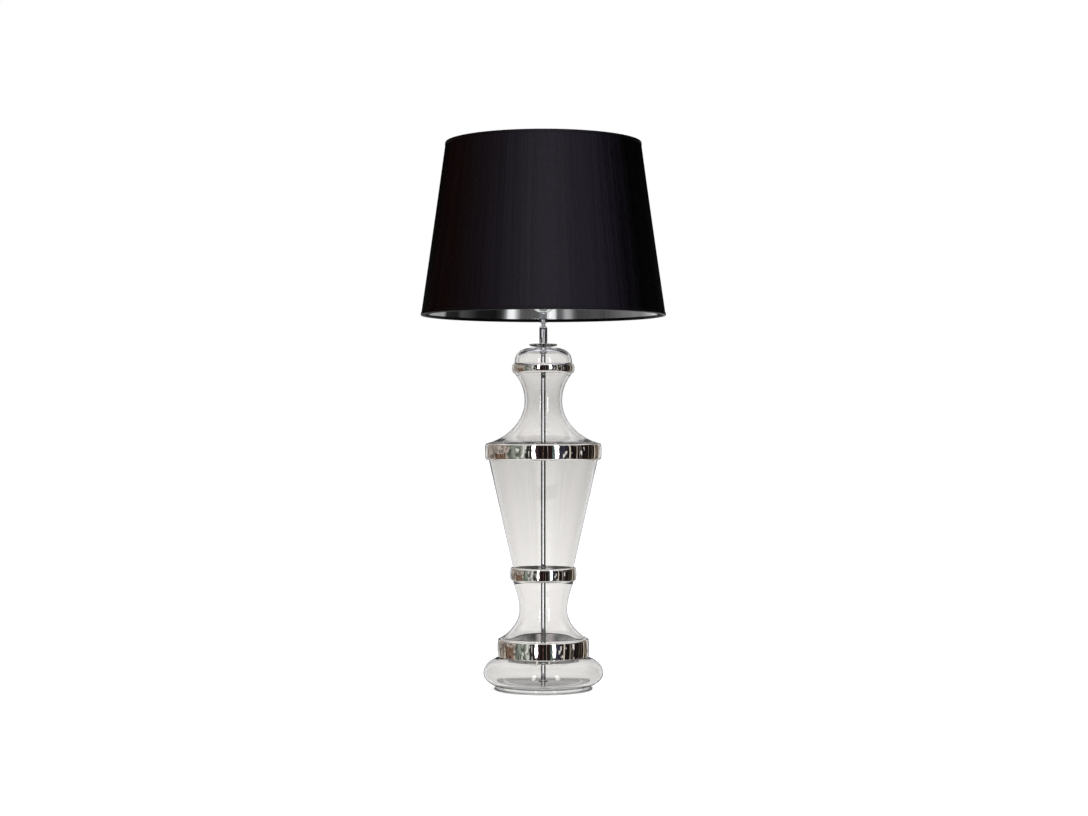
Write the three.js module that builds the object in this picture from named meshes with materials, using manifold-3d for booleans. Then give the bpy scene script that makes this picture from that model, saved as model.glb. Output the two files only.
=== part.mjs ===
// A tall table lamp: a blown clear glass baluster with four platinum bands, a chrome stem and a
// conical fabric shade with a silver lining. Millimetres, +Z up, origin on the table below the stem.
import * as THREE from "three";
import { mergeVertices } from "three/addons/utils/BufferGeometryUtils.js";
import Module from "manifold-3d";

const wasm = await Module();
wasm.setup();

// Driving dimensions.
const GAP = 0.3; // clearance between pieces that turn or meet
const SMALL_SEGMENTS = 16; // round a small turned piece
const GLASS_SEGMENTS = 28;
const SHADE_SEGMENTS = 32;

// Foot and floor of the glass.
const PAD = { radius: 80, bore: 66, height: 1.8 };
const FOOT_RADIUS = 78;
const RECESS = { radius: 66, ceiling: 6.8 };
const FLOOR_Z = 9.8;
const FLOOR_HOLE = 4.5;
const OUTLET = { width: 9, height: 5.4, length: 15, bore: 2.3, z: 3.3 }; // cord outlet at the back

// Blown body: outer radius and height of its narrow places, and the ellipse of its base bulge.
const WALL = 4.5;
const BULGE = { radius: 61.4, z: 26.5, out: 36.6, up: 26.5, down: 22.4, start: -1.1, end: 1.2 };
const LOWER_NECK = { radius: 39.1, z: 129 };
const UPPER_NECK = { radius: 30.6, z: 469 };
const DOME_TOP = { radius: 24, z: 556 };
const LIP = { radius: 22.8, z: 562.5, neck: 10.8, neckZ: 556.4, bore: 6.4 };

// Each platinum band is a skin over a rib of the glass. The root is the body's radius beside it,
// and round and tall are the half axes of the rib's rounded corners.
const BAND_SKIN = 0.5;
const RIB_INSET = BAND_SKIN + GAP;
const BANDS = [
  { name: "band_base", radius: 74.5, low: 52.5, high: 82.5, round: 3, tall: 3, root: 71 },
  { name: "band_waist", radius: 53.8, low: 176.6, high: 198.7, round: 3.6, tall: 4, root: 49.7 },
  { name: "band_shoulder", radius: 94.8, low: 373.6, high: 400.8, round: 4, tall: 4, root: 88.9 },
  { name: "band_collar", radius: 50.9, low: 514.9, high: 530.7, round: 3.6, tall: 7.4, root: 46.8 },
];
const [BASE_RIB, WAIST_RIB, SHOULDER_RIB, COLLAR_RIB] = BANDS;

// Stem.
const PIPE = { radius: 4, bore: 3, low: 3, high: 586 };
const PIPE_FIT = 0.15; // clearance round the pipe
const SLEEVE = { radius: 6.5, low: 562.1, high: 591.6, cone: 2.8 };
const COUPLING = { end: 4.3, waist: 3.4, low: 591.9, high: 595.3, bore: 2.4 };
const NIPPLE = { radius: 4.8, high: 622, bore: 2.6 };
const UPPER = { radius: 6, low: 595.6, high: 613.2, cone: 1.8 };

// Lampholder.
const CAP = { radius: 20, low: 613.4, high: 641, shell: 1.2 };
const BARREL = { radius: 19.6, bore: 17.8, low: 641.3, high: 668 };
const THREAD = { radius: 13.3, depth: 0.5, pitch: 3.6, turns: 4, low: 645 };
const INSERT = { radius: 17.4, low: 630, high: 640.4 };
const TERMINAL_X = 10;

// Shade fitter.
const RING = { radius: 27, bore: 20, lip: 22.5, height: 5 };
const CARRIER = { radius: 30, bore: 20.4, low: 649, high: 651 };
const ARM_RADIUS = 1.5;
const ARMS = { shade_arm_back: 90, shade_arm_left: 210, shade_arm_right: 330 };

// Shade. Depths are measured inwards from its outer face.
const SHADE = { low: 608.5, high: 890.5, lowRadius: 200, highRadius: 160 };
const HEM = { skin: 0.6, reach: 4.6, depth: 5.9 };
const FABRIC = [0.7, 1.4];
const LINING = [1.5, 1.9];
const HOOP = { radius: 1.5, depth: 3.6, rise: 2.3 };

// Bulb.
const BULB = { globe: 30, globeZ: 712, seat: 24, seatZ: 694, wall: 1.2 };

const look = (color, roughness, metalness = 0, opacity = 1) =>
  new THREE.MeshStandardMaterial({ color, roughness, metalness, opacity, transparent: opacity < 1 });
const CLEAR_GLASS = look(0xe8eceb, 0.02, 0, 0.35);
const PLATINUM = look(0xd9d4cd, 0.04, 1);
const CHROME = look(0xd6d8da, 0.06, 1);
const SATIN = look(0x16141a, 0.55);
const FOIL = look(0xc4c4c6, 0.18, 1);
const WIRE_PAINT = look(0xe6e4df, 0.5);
const STEEL = look(0x9a9c9e, 0.35, 1);
const BRASS = look(0xb59a52, 0.3, 1);
const CERAMIC = look(0xf0ede6, 0.4);
const SILICONE = look(0xd9dcdc, 0.6, 0, 0.6);
const RUBBER = look(0x1c1c1e, 0.7);
const NYLON = look(0x232326, 0.5);
const FELT = look(0x8a8c8e, 0.9);
const OPAL = look(0xf6f3ea, 0.3);
const WHITE_PLASTIC = look(0xf2f2f0, 0.4);
const BROWN = look(0x6b3b1f, 0.5);
const BLUE = look(0x2c5a9c, 0.5);

const lamp = new THREE.Group();

function add(name, geometry, material) {
  const mesh = new THREE.Mesh(geometry, material);
  mesh.name = name;
  lamp.add(mesh);
}

const at = (x, y) => new THREE.Vector2(x, y);

// A solid of revolution round Z from a closed outline of (radius, height) points.
function turned(outline, segments = SMALL_SEGMENTS) {
  const profile = outline.map((p) => (p.isVector2 ? p.clone() : at(...p)));
  if (THREE.ShapeUtils.area(profile) < 0) profile.reverse();
  profile.push(profile[0].clone());
  return new THREE.LatheGeometry(profile, segments).rotateX(Math.PI / 2);
}

// A turned piece whose outline starts and ends on the axis, listed upwards.
function spun(outline, segments = SMALL_SEGMENTS) {
  return new THREE.LatheGeometry(outline.map((p) => at(...p)), segments).rotateX(Math.PI / 2);
}

function tube(radius, bore, low, high, segments) {
  return turned([[bore, low], [radius, low], [radius, high], [bore, high]], segments);
}

function rod(radius, low, high, segments = 8) {
  return spun([[0, low], [radius, low], [radius, high], [0, high]], segments);
}

// A round bar through the given points, with its sections at the points themselves.
function bar(points, radius, sides = 6) {
  const places = points.map((p) => new THREE.Vector3(...p));
  const curve = new THREE.CatmullRomCurve3(places, false, "centripetal");
  curve.getUtoTmapping = (u) => u;
  const section = new THREE.Shape().setFromPoints(
    Array.from({ length: sides }, (_, i) => {
      const angle = (i * 2 * Math.PI) / sides;
      return at(radius * Math.cos(angle), radius * Math.sin(angle));
    }),
  );
  return new THREE.ExtrudeGeometry(section, { steps: points.length - 1, extrudePath: curve });
}

function block(width, depth, height, x, y, low) {
  return new THREE.BoxGeometry(width, depth, height).translate(x, y, low + height / 2);
}

function solidOf(geometry) {
  const bare = geometry.clone();
  bare.deleteAttribute("normal");
  bare.deleteAttribute("uv");
  const merged = mergeVertices(bare);
  return new wasm.Manifold(
    new wasm.Mesh({
      numProp: 3,
      vertProperties: merged.attributes.position.array,
      triVerts: new Uint32Array(merged.index.array),
    }),
  );
}

function geometryOf(solid) {
  const mesh = solid.getMesh();
  return new THREE.BufferGeometry()
    .setAttribute("position", new THREE.BufferAttribute(mesh.vertProperties, 3))
    .setIndex(new THREE.BufferAttribute(mesh.triVerts, 1));
}

function cut(geometry, ...tools) {
  return geometryOf(tools.reduce((solid, tool) => solid.subtract(solidOf(tool)), solidOf(geometry)));
}

// ---- Glass ----

// The rounded face of a rib, upwards, moved inwards by an inset. Each corner is an arc in a few steps.
function ribFace(rib, inset, steps = 1) {
  const { radius, low, high, round, tall } = rib;
  const corner = (z, start) =>
    Array.from({ length: steps + 1 }, (_, i) => {
      const angle = start + (i * Math.PI) / 2 / steps;
      return at(
        radius - round + (round - inset) * Math.cos(angle),
        z + (tall - inset) * Math.sin(angle),
      );
    });
  return [...corner(low + tall, -Math.PI / 2), ...corner(high - tall, 0)];
}

function bulgeCurve() {
  const { radius, z, out, up, down, start, end } = BULGE;
  const path = new THREE.Path();
  path.absellipse(radius, z, out, down, start, 0);
  path.absellipse(radius, z, out, up, 0, end);
  return path.getPoints(2);
}

function lowerNeckCurve() {
  const { radius, z } = LOWER_NECK;
  const path = new THREE.Path().moveTo(BASE_RIB.root, BASE_RIB.high + 0.6);
  path.bezierCurveTo(55, 92, radius, 109, radius, z);
  path.bezierCurveTo(radius, 146, 45, 162, WAIST_RIB.root, WAIST_RIB.low - 0.6);
  return path.getPoints(4);
}

function coneLine() {
  return [
    at(WAIST_RIB.root, WAIST_RIB.high + 0.6),
    at(SHOULDER_RIB.root, SHOULDER_RIB.low - 0.6),
  ];
}

function upperNeckCurve() {
  const { radius, z } = UPPER_NECK;
  const path = new THREE.Path().moveTo(SHOULDER_RIB.root, SHOULDER_RIB.high + 0.6);
  path.bezierCurveTo(58, 410, radius, 437, radius, z);
  path.bezierCurveTo(radius, 489, 37, 502, COLLAR_RIB.root, COLLAR_RIB.low - 0.6);
  return path.getPoints(4);
}

function domeCurve() {
  const path = new THREE.Path().moveTo(COLLAR_RIB.root, COLLAR_RIB.high + 0.6);
  path.bezierCurveTo(COLLAR_RIB.root, 545, 41, 553.5, DOME_TOP.radius, DOME_TOP.z);
  return path.getPoints(4);
}

// A curve moved inwards by the wall, without the points that fold over at a tight corner.
function inset(core, wall) {
  const moved = core.map((point, i) => {
    const before = core[Math.max(i - 1, 0)];
    const after = core[Math.min(i + 1, core.length - 1)];
    const way = after.clone().sub(before).normalize();
    return at(point.x - way.y * wall, point.y + way.x * wall);
  });
  return moved.filter((p) => core.every((q) => p.distanceTo(q) > wall * 0.96));
}

function glassBody() {
  const stretches = [bulgeCurve(), lowerNeckCurve(), coneLine(), upperNeckCurve(), domeCurve()];
  const outside = stretches.flatMap((stretch, i) =>
    i < BANDS.length
      ? [
          ...stretch,
          at(BANDS[i].root, BANDS[i].low - GAP),
          at(BANDS[i].root, BANDS[i].low + RIB_INSET),
          ...ribFace(BANDS[i], RIB_INSET),
          at(BANDS[i].root, BANDS[i].high - RIB_INSET),
        ]
      : stretch,
  );
  const outline = [
    at(RECESS.radius, PAD.height),
    at(FOOT_RADIUS, PAD.height),
    at(FOOT_RADIUS, PAD.height + 2.6),
    ...outside,
    at(LIP.neck, LIP.neckZ),
    at(LIP.neck + 3, LIP.neckZ + 1.1),
    at(LIP.radius - 2.5, LIP.z - 3.9),
    at(LIP.radius, LIP.z - 2.1),
    at(LIP.radius, LIP.z - 0.8),
    at(LIP.radius - 0.8, LIP.z),
    at(LIP.neck + 3, LIP.z - 1.6),
    at(LIP.bore, LIP.z - 1.7),
    at(LIP.bore, DOME_TOP.z - WALL + 0.5),
    ...inset(stretches.flat(), WALL).filter((_, i) => i % 2 === 0).reverse(),
    at(RECESS.radius, FLOOR_Z),
    at(FLOOR_HOLE, FLOOR_Z),
    at(FLOOR_HOLE, RECESS.ceiling),
    at(RECESS.radius, RECESS.ceiling),
  ];
  return solidOf(cut(turned(outline, GLASS_SEGMENTS), outletSlot()));
}

// The slot through the back of the foot.
function outletSlot() {
  const { width, height, length } = OUTLET;
  return block(width, length + 6, height, 0, RECESS.radius + length / 2, 0.2);
}

// The one blown body is held as stacked pieces, each with its own simple outside, up to these heights.
const GLASS_TOPS = {
  glass_foot: BASE_RIB.high + 0.3,
  glass_lower_neck: WAIST_RIB.high + 0.3,
  glass_cone: SHOULDER_RIB.low - 0.6,
  glass_shoulder: SHOULDER_RIB.high + 20,
  glass_upper_neck: COLLAR_RIB.low - 0.6,
  glass_dome: LIP.z + 1,
};
const blown = glassBody();
let glassLow = 0;
for (const [name, top] of Object.entries(GLASS_TOPS)) {
  const slab = block(300, 300, top - glassLow, 0, 0, glassLow);
  add(name, geometryOf(blown.intersect(solidOf(slab))), CLEAR_GLASS);
  glassLow = top + GAP;
}

BANDS.forEach((rib) => {
  const outline = [...ribFace(rib, 0, 2), ...ribFace(rib, BAND_SKIN).reverse()];
  add(rib.name, turned(outline, GLASS_SEGMENTS), PLATINUM);
});

// ---- Under the foot ----

const padRing = tube(PAD.radius, PAD.bore, 0, PAD.height, GLASS_SEGMENTS);
add("foot_pad_ring", cut(padRing, outletSlot().translate(0, 0, -1)), SILICONE);
add("base_cover_disc", tube(62, 13, RECESS.ceiling - 1.1, RECESS.ceiling, GLASS_SEGMENTS), FELT);

function grommet() {
  const { width, height, length, bore, z } = OUTLET;
  const body = block(width - 0.4, length - 3, height - 0.4, 0, RECESS.radius + length / 2 - 1, 0.4);
  const hole = rod(bore, -length, length).rotateX(Math.PI / 2).translate(0, RECESS.radius + length / 2, z);
  return cut(body, hole);
}
add("cord_grommet", grommet(), NYLON);

function nut(corner, bore, low, high) {
  return cut(rod(corner, low, high, 6), rod(bore, low - 1, high + 1, SMALL_SEGMENTS));
}

const PIPE_HOLE = PIPE.radius + PIPE_FIT;
add("lower_rubber_washer", tube(10, PIPE_HOLE, 5.9, RECESS.ceiling), RUBBER);
add("lower_steel_washer", tube(9, PIPE_HOLE, 5.2, 5.9), STEEL);
add("lower_lock_nut", nut(7.5, PIPE_HOLE, 3.2, 5.2), STEEL);

// ---- Stem ----

add("floor_washer", tube(8, PIPE_HOLE, FLOOR_Z, FLOOR_Z + 0.8), SILICONE);
const collarLow = FLOOR_Z + 0.8;
add(
  "floor_collar",
  turned([
    [PIPE_HOLE, collarLow],
    [6.5, collarLow],
    [6.5, collarLow + 1.6],
    [5.7, collarLow + 2.4],
    [PIPE_HOLE, collarLow + 2.4],
  ]),
  CHROME,
);
add("central_pipe", tube(PIPE.radius, PIPE.bore, PIPE.low, PIPE.high), CHROME);
add(
  "mouth_bush",
  turned([
    [PIPE_HOLE, 550.5],
    [LIP.bore - GAP, 550.5],
    [LIP.bore - GAP, LIP.z - 1.7],
    [PIPE_HOLE, LIP.z - 1.7],
  ]),
  SILICONE,
);
add("mouth_gasket", tube(8.5, PIPE_HOLE, LIP.z - 1.5, SLEEVE.low), SILICONE);
add(
  "lower_sleeve",
  turned([
    [PIPE_HOLE, SLEEVE.low],
    [SLEEVE.radius - 0.4, SLEEVE.low],
    [SLEEVE.radius, SLEEVE.low + 0.4],
    [SLEEVE.radius, SLEEVE.high - SLEEVE.cone],
    [COUPLING.end, SLEEVE.high],
    [COUPLING.bore, SLEEVE.high],
    [COUPLING.bore, PIPE.high + GAP],
    [PIPE_HOLE, PIPE.high + GAP],
  ]),
  CHROME,
);
const couplingMiddle = (COUPLING.low + COUPLING.high) / 2;
add(
  "waist_coupling",
  turned([
    [COUPLING.bore, COUPLING.low],
    [COUPLING.end, COUPLING.low],
    [COUPLING.waist, couplingMiddle - 0.6],
    [COUPLING.waist, couplingMiddle + 0.6],
    [COUPLING.end, COUPLING.high],
    [COUPLING.bore, COUPLING.high],
  ]),
  CHROME,
);
add(
  "upper_sleeve",
  turned([
    [NIPPLE.bore, UPPER.low],
    [COUPLING.end, UPPER.low],
    [UPPER.radius, UPPER.low + UPPER.cone],
    [UPPER.radius, UPPER.high],
    [NIPPLE.radius, UPPER.high],
    [NIPPLE.radius, NIPPLE.high],
    [NIPPLE.bore, NIPPLE.high],
  ]),
  CHROME,
);

// ---- Lampholder ----

function capOutline(shrink, steps) {
  const radius = CAP.radius - shrink;
  const rise = 18 - shrink;
  return Array.from({ length: steps + 1 }, (_, i) => {
    const start = 0.32;
    const angle = start + ((Math.PI / 2 - start) * i) / steps;
    return at(radius * Math.sin(angle), CAP.low + shrink + rise * (1 - Math.cos(angle)) - 0.9);
  });
}

function holderCap() {
  const outer = capOutline(0, 4);
  const inner = capOutline(CAP.shell, 3).reverse();
  const hole = NIPPLE.radius + 0.2;
  const outline = [
    at(hole, CAP.low),
    ...outer,
    at(CAP.radius, CAP.high),
    at(CAP.radius - CAP.shell, CAP.high),
    ...inner,
    at(hole, CAP.low + CAP.shell),
  ];
  return turned(outline, GLASS_SEGMENTS);
}
add("holder_cap", holderCap(), CHROME);
add("holder_fixing_nut", nut(8.2, NIPPLE.radius + 0.2, 616.5, 619.5), STEEL);

function insert() {
  const body = spun([
    [0, INSERT.low],
    [INSERT.radius, INSERT.low],
    [INSERT.radius, INSERT.high],
    [0, INSERT.high],
  ]);
  const hole = rod(1.9, INSERT.low - 2, INSERT.low + 8);
  return cut(body, ...[-1, 1].map((side) => hole.clone().translate(side * TERMINAL_X, 0, 0)));
}
add("holder_insert", insert(), CERAMIC);
["terminal_screw_left", "terminal_screw_right"].forEach((name, i) => {
  const screw = spun(
    [
      [0, INSERT.low - 2],
      [2.6, INSERT.low - 2],
      [2.6, INSERT.low - 0.3],
      [1.6, INSERT.low - 0.3],
      [1.6, INSERT.low + 7],
      [0, INSERT.low + 7],
    ],
    12,
  );
  add(name, screw.translate((2 * i - 1) * TERMINAL_X, 0, 0), BRASS);
});
add(
  "holder_barrel",
  turned(
    [
      [BARREL.bore, BARREL.low],
      [BARREL.radius, BARREL.low],
      [BARREL.radius, BARREL.high - 1],
      [BARREL.radius - 1, BARREL.high],
      [BARREL.bore - 1.4, BARREL.high],
      [BARREL.bore - 1.4, BARREL.high - 2],
      [BARREL.bore, BARREL.high - 2],
    ],
    GLASS_SEGMENTS,
  ),
  WHITE_PLASTIC,
);

// The rolled thread of the lampholder and the bulb, upwards, moved outwards by an offset.
function threadProfile(offset) {
  const { radius, depth, pitch, turns, low } = THREAD;
  return Array.from({ length: 2 * turns + 1 }, (_, i) =>
    at(radius + offset - (i % 2) * 2 * depth, low + (i * pitch) / 2),
  );
}

function screwShell() {
  const high = THREAD.low + THREAD.turns * THREAD.pitch;
  const outline = [
    at(3.4, INSERT.high),
    at(THREAD.radius + 1.2, INSERT.high),
    ...threadProfile(1.2),
    at(THREAD.radius + 1.2, high + 1.6),
    at(THREAD.radius + 0.7, high + 1.6),
    ...threadProfile(0.7).reverse(),
    at(THREAD.radius + 0.7, INSERT.high + 0.5),
    at(3.4, INSERT.high + 0.5),
  ];
  return turned(outline);
}
add("holder_screw_shell", screwShell(), BRASS);

function contactSpring() {
  const strip = new THREE.Shape([
    at(-2.9, INSERT.high),
    at(-1.5, INSERT.high),
    at(2.6, INSERT.high + 1.7),
    at(2.6, INSERT.high + 2.1),
    at(1.8, INSERT.high + 2.1),
    at(-1.7, INSERT.high + 0.5),
    at(-2.9, INSERT.high + 0.5),
  ]);
  const spring = new THREE.ExtrudeGeometry(strip, { depth: 3, bevelEnabled: false });
  return spring.rotateX(Math.PI / 2).translate(0, 1.5, 0);
}
add("holder_contact_spring", contactSpring(), BRASS);

// ---- Wires ----

[-1, 1].forEach((side) => {
  const x = 1.15 * side;
  const path = [
    [x, RECESS.radius + 8, OUTLET.z],
    [x, RECESS.radius - 4, OUTLET.z],
    [x, 50, 1.7],
    [x, 5, 1.7],
    [x, 2.4, 1.9],
    [x, 1, 2.8],
    [x, 0.3, 4.6],
    [x, 0, 9],
    [x, 0, 612],
    [x, 0, 621.5],
    [1.6 * side, 0, 623.8],
    [3.2 * side, 0, 625.6],
    [6 * side, 0, 627.6],
  ];
  add(side < 0 ? "wire_live" : "wire_neutral", bar(path, 0.9), side < 0 ? BROWN : BLUE);
});

// ---- Shade fitter ----

function ring(low, side) {
  const foot = side > 0 ? low : low + RING.height;
  const head = foot + side * RING.height;
  const step = foot + side * 1.6;
  return turned(
    [
      [RING.bore, foot],
      [RING.radius, foot],
      [RING.radius, step],
      [RING.lip, step],
      [RING.lip, head],
      [RING.bore, head],
    ],
    GLASS_SEGMENTS,
  );
}
add("shade_ring_lower", ring(CARRIER.low - GAP - RING.height, -1), WHITE_PLASTIC);
add("shade_ring_upper", ring(CARRIER.high + GAP, 1), WHITE_PLASTIC);
const carrier = tube(CARRIER.radius, CARRIER.bore, CARRIER.low, CARRIER.high, GLASS_SEGMENTS);
add("shade_carrier", carrier, WIRE_PAINT);

// ---- Shade ----

const shadeSlope = at(SHADE.highRadius - SHADE.lowRadius, SHADE.high - SHADE.low);
const shadeSlant = shadeSlope.length();
shadeSlope.normalize();

// A point of the shade's section: up the slant from the low rim, and inwards from the outer face.
function onShade(rise, depth) {
  return at(
    SHADE.lowRadius + shadeSlope.x * rise - shadeSlope.y * depth,
    SHADE.low + shadeSlope.y * rise + shadeSlope.x * depth,
  );
}

function shadeSkin([outer, inner]) {
  const edge = HEM.skin + 0.2;
  const outline = [
    onShade(edge, outer),
    onShade(shadeSlant - edge, outer),
    onShade(shadeSlant - edge, inner),
    onShade(edge, inner),
  ];
  return turned(outline, SHADE_SEGMENTS);
}
add("shade_fabric", shadeSkin(FABRIC), SATIN);
add("shade_lining", shadeSkin(LINING), FOIL);

// Rims: a wire hoop in a folded hem, given by how far each point lies from the rim.
const rims = {
  low: (rise, depth) => onShade(rise, depth),
  high: (rise, depth) => onShade(shadeSlant - rise, depth),
};
for (const [rim, place] of Object.entries(rims)) {
  const { skin, reach, depth } = HEM;
  const hem = [
    place(reach, 0),
    place(0.3, 0),
    place(0, 0.3),
    place(0, depth - 0.3),
    place(0.3, depth),
    place(reach, depth),
    place(reach, depth - skin),
    place(skin, depth - skin),
    place(skin, skin),
    place(reach, skin),
  ];
  add(`shade_hem_${rim}`, turned(hem, SHADE_SEGMENTS), SATIN);
  const centre = place(HOOP.rise, HOOP.depth);
  const hoop = Array.from({ length: 6 }, (_, i) => {
    const angle = (i * Math.PI) / 3;
    return at(centre.x + HOOP.radius * Math.cos(angle), centre.y + HOOP.radius * Math.sin(angle));
  });
  add(`shade_hoop_${rim}`, turned(hoop, SHADE_SEGMENTS), WIRE_PAINT);
}

// Arms run level from the carrier, turn down beside the lining and stop at the low hoop.
for (const [name, degrees] of Object.entries(ARMS)) {
  const z = (CARRIER.low + CARRIER.high) / 2;
  const wall = onShade(HEM.reach + 3, HEM.depth + 1);
  const path = [
    [CARRIER.radius + GAP, 0, z],
    [wall.x - 30, 0, z],
    [wall.x - 18, 0, z - 0.6],
    [wall.x - 9, 0, z - 4],
    [wall.x - 4, 0, z - 10],
    [wall.x - 2, 0, z - 18],
    [wall.x, 0, wall.y],
  ];
  add(name, bar(path, ARM_RADIUS).rotateZ(THREE.MathUtils.degToRad(degrees)), WIRE_PAINT);
}

// ---- Bulb ----

const threadTop = THREAD.low + THREAD.turns * THREAD.pitch;
add("bulb_contact", spun([[0, 642.8], [3.2, 642.8], [3.8, 643.6], [0, 643.6]], 12), STEEL);
add("bulb_insulator", spun([[0, 643.6], [4.6, 643.6], [9.5, 644.7], [0, 644.7]], 16), NYLON);
add("bulb_cap", spun([[0, THREAD.low], ...threadProfile(0).map((p) => [p.x, p.y]), [0, threadTop]]), STEEL);
add(
  "bulb_housing",
  spun([
    [0, threadTop],
    [THREAD.radius, threadTop],
    [THREAD.radius + 0.6, threadTop + 8],
    [BULB.seat, BULB.seatZ - 4],
    [BULB.seat + 0.6, BULB.seatZ],
    [0, BULB.seatZ],
  ]),
  WHITE_PLASTIC,
);
add("bulb_led_board", rod(BULB.seat - 3, BULB.seatZ, BULB.seatZ + 1.6, SMALL_SEGMENTS), WHITE_PLASTIC);

function diffuser() {
  const steps = 6;
  const drop = BULB.globeZ - BULB.seatZ;
  const arc = (radius) => {
    const widest = Math.PI - Math.acos(drop / radius);
    return Array.from({ length: steps + 1 }, (_, i) => {
      const angle = (widest * i) / steps;
      return [radius * Math.sin(angle), BULB.globeZ + radius * Math.cos(angle)];
    });
  };
  return spun([...arc(BULB.globe - BULB.wall), ...arc(BULB.globe).reverse()]);
}
add("bulb_diffuser", diffuser(), OPAL);

export default lamp;
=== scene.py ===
"""Looks of the table lamp: a clear blown glass baluster with four platinum bands, a chrome stem
and a tapered black satin shade with a silver lining. The CAD nodes give the places and the bodies."""

import math

import bmesh
import bpy
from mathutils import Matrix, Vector, noise


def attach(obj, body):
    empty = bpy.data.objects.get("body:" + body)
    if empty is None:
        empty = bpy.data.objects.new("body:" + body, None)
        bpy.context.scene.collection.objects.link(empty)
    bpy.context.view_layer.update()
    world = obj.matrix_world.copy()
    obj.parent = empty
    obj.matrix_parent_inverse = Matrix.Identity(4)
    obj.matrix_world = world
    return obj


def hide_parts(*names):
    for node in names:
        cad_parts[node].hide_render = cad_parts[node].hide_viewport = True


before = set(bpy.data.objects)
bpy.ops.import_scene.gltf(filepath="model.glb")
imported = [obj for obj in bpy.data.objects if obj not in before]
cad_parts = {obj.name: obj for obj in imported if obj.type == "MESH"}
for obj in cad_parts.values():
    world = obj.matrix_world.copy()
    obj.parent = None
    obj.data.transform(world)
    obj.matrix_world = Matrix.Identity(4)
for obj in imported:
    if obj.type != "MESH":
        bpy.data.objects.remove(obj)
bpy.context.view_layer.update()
MM = 0.001
TAU = 2 * math.pi


# ---------------------------------------------------------------- camera


CAMERA_DISTANCE = 3.241
CAMERA_HEIGHT = 0.432
CAMERA_LENS = 65.75
CAMERA_SHIFT = (0.0006, 0.0147)


def add_camera():
    """A level camera in front of the lamp, far enough for the flat look of a studio portrait."""
    data = bpy.data.cameras.new("camera")
    data.sensor_width = 36
    data.lens = CAMERA_LENS
    data.shift_x, data.shift_y = CAMERA_SHIFT
    data.clip_end = 100
    camera = bpy.data.objects.new("camera", data)
    camera.location = (0, -CAMERA_DISTANCE, CAMERA_HEIGHT)
    camera.rotation_euler = (math.pi / 2, 0, 0)
    bpy.context.collection.objects.link(camera)
    bpy.context.scene.camera = camera


add_camera()


# ---------------------------------------------------------------- material nodes


class Nodes:
    """A material, or a world, and short calls that add its nodes."""

    def __init__(self, name, world=None):
        self.material = world or bpy.data.materials.new(name)
        self.material.use_nodes = True
        self.tree = self.material.node_tree
        self.shader = self.tree.nodes["Background" if world else "Principled BSDF"]

    def add(self, kind, inputs=None, **settings):
        node = self.tree.nodes.new("ShaderNode" + kind)
        for key, value in settings.items():
            setattr(node, key, value)
        for key, value in (inputs or {}).items():
            self.put(value, node.inputs[key])
        return node

    def put(self, value, socket):
        if isinstance(value, bpy.types.NodeSocket):
            self.tree.links.new(value, socket)
        else:
            socket.default_value = value

    def set(self, **sockets):
        for key, value in sockets.items():
            self.put(value, self.shader.inputs[key.replace("_", " ")])

    def place(self, scale=(1, 1, 1), source="Object"):
        where = self.add("TexCoord").outputs[source]
        return self.add("Mapping", {"Vector": where, "Scale": scale}).outputs[0]

    def noise(self, vector, scale, detail=3.0, rough=0.55):
        made = self.add(
            "TexNoise", {"Vector": vector, "Scale": scale, "Detail": detail, "Roughness": rough}
        )
        return made.outputs["Fac"]

    def wave(self, vector, scale, axis="X", distortion=0.0):
        inputs = {"Vector": vector, "Scale": scale, "Distortion": distortion}
        return self.add("TexWave", inputs, bands_direction=axis).outputs["Fac"]

    def between(self, factor, low, high):
        """Runs a 0 to 1 pattern from low to high."""
        made = self.add("MapRange", {"Value": factor, "To Min": low, "To Max": high})
        return made.outputs[0]

    def sharpen(self, factor, start, end, low=0.0, high=1.0):
        inputs = {"Value": factor, "From Min": start, "From Max": end, "To Min": low, "To Max": high}
        return self.add("MapRange", inputs).outputs[0]

    def colours(self, factor, a, b):
        made = self.add("Mix", data_type="RGBA")
        self.put(factor, made.inputs[0])
        for colour, socket in ((a, made.inputs[6]), (b, made.inputs[7])):
            self.put((*colour, 1) if isinstance(colour, tuple) else colour, socket)
        return made.outputs[2]

    def ramp(self, factor, stops):
        made = self.add("ValToRGB", {"Fac": factor})
        elements = made.color_ramp.elements
        for _ in stops[2:]:
            elements.new(0.5)
        for element, (place, colour) in zip(elements, stops):
            element.position = place
        for element, (place, colour) in zip(elements, stops):
            element.color = (*colour, 1)
        return made.outputs["Color"]

    def split(self, vector):
        return self.add("SeparateXYZ", {"Vector": vector}).outputs

    def math(self, operation, a, b):
        made = self.add("Math", operation=operation)
        self.put(a, made.inputs[0])
        self.put(b, made.inputs[1])
        return made.outputs[0]

    def near(self, angle, degrees, reach):
        """1 where the angle is within reach of the given one, both in degrees, else 0."""
        inputs = {0: angle, 1: math.radians(degrees), 2: math.radians(reach)}
        return self.add("Math", inputs, operation="COMPARE").outputs[0]

    def bump(self, height, distance, strength=1.0, under=None):
        inputs = {"Height": height, "Distance": distance, "Strength": strength}
        if under is not None:
            inputs["Normal"] = under
        return self.add("Bump", inputs).outputs[0]


def shade_of(colour, factor):
    return tuple(min(1, c * factor) for c in colour)


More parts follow.
